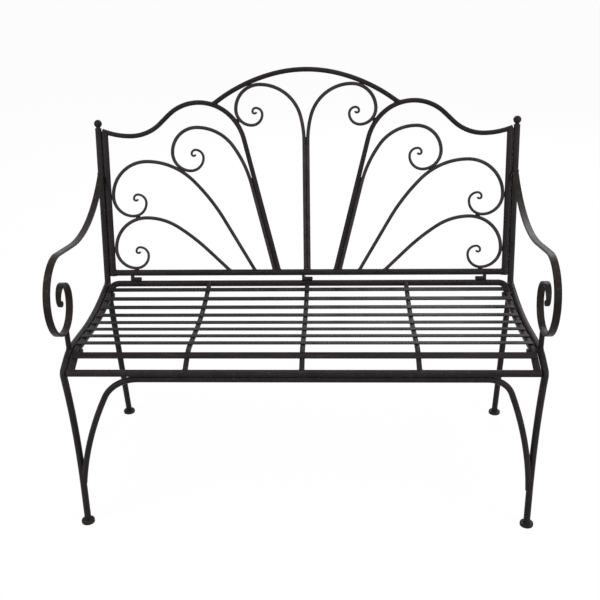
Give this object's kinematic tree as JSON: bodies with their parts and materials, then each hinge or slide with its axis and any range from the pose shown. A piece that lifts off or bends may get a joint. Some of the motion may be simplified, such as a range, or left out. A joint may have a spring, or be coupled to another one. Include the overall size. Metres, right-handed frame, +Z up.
{
  "type": "garden bench",
  "caption": "Dark coated metal garden bench with a slatted dished seat, scrolled armrests, an arched front stretcher and a wave-topped back of bent scroll rods.",
  "frame": {"origin": "on the floor under the middle of the bench's outline", "axes": "+X to the viewer's right along the bench, +Y from the front edge towards the back, +Z up; the sitter faces -Y"},
  "size_m": [1.092, 0.6118, 0.983],
  "materials": {
    "powder_coat": "semi-matte, finely textured dark powder coat",
    "dark_hardware": "dark plated steel fixings"
  },
  "bodies": {
    "root": {"back_bottom_rail": "powder_coat", "back_top_arch": "powder_coat", "front_stretcher": "powder_coat", "hinge_barrels": "powder_coat", "hinge_lugs": "powder_coat", "left_armrest": "powder_coat", "left_armrest_strut": "powder_coat", "left_back_upright": "powder_coat", "left_back_wave_tube": "powder_coat", "left_finial": "powder_coat", "left_front_foot": "powder_coat", "left_front_leg": "powder_coat", "left_rear_foot": "powder_coat", "left_rear_post": "powder_coat", "left_scroll_rod_1": "powder_coat", "left_scroll_rod_2": "powder_coat", "left_scroll_rod_3": "powder_coat", "left_scroll_rod_4": "powder_coat", "left_seat_rail": "powder_coat", "right_armrest": "powder_coat", "right_armrest_strut": "powder_coat", "right_back_upright": "powder_coat", "right_back_wave_tube": "powder_coat", "right_finial": "powder_coat", "right_front_foot": "powder_coat", "right_front_leg": "powder_coat", "right_rear_foot": "powder_coat", "right_rear_post": "powder_coat", "right_scroll_rod_1": "powder_coat", "right_scroll_rod_2": "powder_coat", "right_scroll_rod_3": "powder_coat", "right_scroll_rod_4": "powder_coat", "right_seat_rail": "powder_coat", "seat_front_rail": "powder_coat", "seat_front_slat": "powder_coat", "seat_rear_rail": "powder_coat", "seat_slat_1": "powder_coat", "seat_slat_2": "powder_coat", "seat_slat_3": "powder_coat", "seat_slat_4": "powder_coat", "seat_slat_5": "powder_coat", "seat_slat_6": "powder_coat", "seat_slat_7": "powder_coat", "seat_slat_8": "powder_coat", "seat_support_left": "powder_coat", "seat_support_middle": "powder_coat", "seat_support_right": "powder_coat", "back_studs": "dark_hardware", "hinge_pins": "dark_hardware", "seat_bolt_inserts": "dark_hardware", "seat_bolt_washers": "dark_hardware", "seat_bolts": "dark_hardware"}
  },
  "joints": []
}
